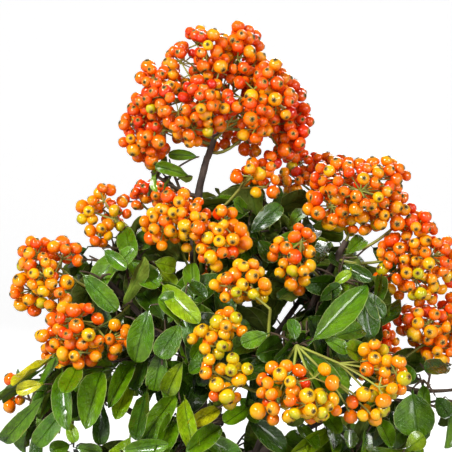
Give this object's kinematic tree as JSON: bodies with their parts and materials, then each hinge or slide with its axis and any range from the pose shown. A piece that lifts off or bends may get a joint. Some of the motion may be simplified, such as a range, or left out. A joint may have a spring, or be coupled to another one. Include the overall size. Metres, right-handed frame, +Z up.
{
  "type": "firethorn shrub",
  "caption": "Small evergreen firethorn shrub: arching boughs from one short trunk, glossy leaves and dense domed clusters of orange berries, fuller at the top; rooted in the ground.",
  "frame": {"origin": "middle of the flat cut under the trunk, at ground level", "axes": "+Z up, -Y towards the front of the shrub, +X to the right as seen from the front"},
  "size_m": [0.2966, 0.26, 0.379],
  "materials": {
    "bark": "rough grey-brown bark",
    "foliage": "glossy dark green leaves, paler underneath",
    "berries": "smooth, slightly waxy orange skin"
  },
  "bodies": {
    "root": {"trunk": "bark", "left_bough": "bark", "upper_left_bough": "bark", "right_bough": "bark", "right_low_bough": "bark", "left_low_bough": "bark", "front_bough": "bark", "front_left_bough": "bark", "front_right_bough": "bark", "back_left_bough": "bark", "back_right_bough": "bark", "back_bough": "bark", "low_left_bough": "bark", "low_right_bough": "bark", "low_back_bough": "bark", "leaves_upper_left": "foliage", "leaves_lower_left": "foliage", "leaves_centre": "foliage", "leaves_front": "foliage", "leaves_front_low": "foliage", "leaves_right": "foliage", "leaves_right_low": "foliage", "leaves_front_right": "foliage", "leaves_back_left": "foliage", "leaves_back": "foliage", "leaves_back_right": "foliage", "leaves_low_left": "foliage", "leaves_low_right": "foliage", "leaves_low_back": "foliage", "leaves_upper": "foliage", "leaves_top": "foliage", "leaves_low_front": "foliage", "crown_fruit_left": "berries", "crown_fruit_top": "berries", "crown_fruit_right": "berries", "crown_fruit_front": "berries", "crown_fruit_back": "berries", "fruit_upper_left": "berries", "fruit_left": "berries", "fruit_left_low": "berries", "fruit_centre_left": "berries", "fruit_centre": "berries", "fruit_upper_centre": "berries", "fruit_centre_low": "berries", "fruit_front_high": "berries", "fruit_front_left": "berries", "fruit_front": "berries", "fruit_front_right": "berries", "fruit_upper_right": "berries", "fruit_right": "berries", "fruit_right_low": "berries", "fruit_inner_right": "berries", "fruit_back_right_high": "berries", "fruit_back_left_high": "berries", "fruit_back": "berries", "fruit_back_left": "berries", "fruit_back_right": "berries", "fruit_far_left": "berries", "fruit_low_left": "berries"}
  },
  "joints": []
}
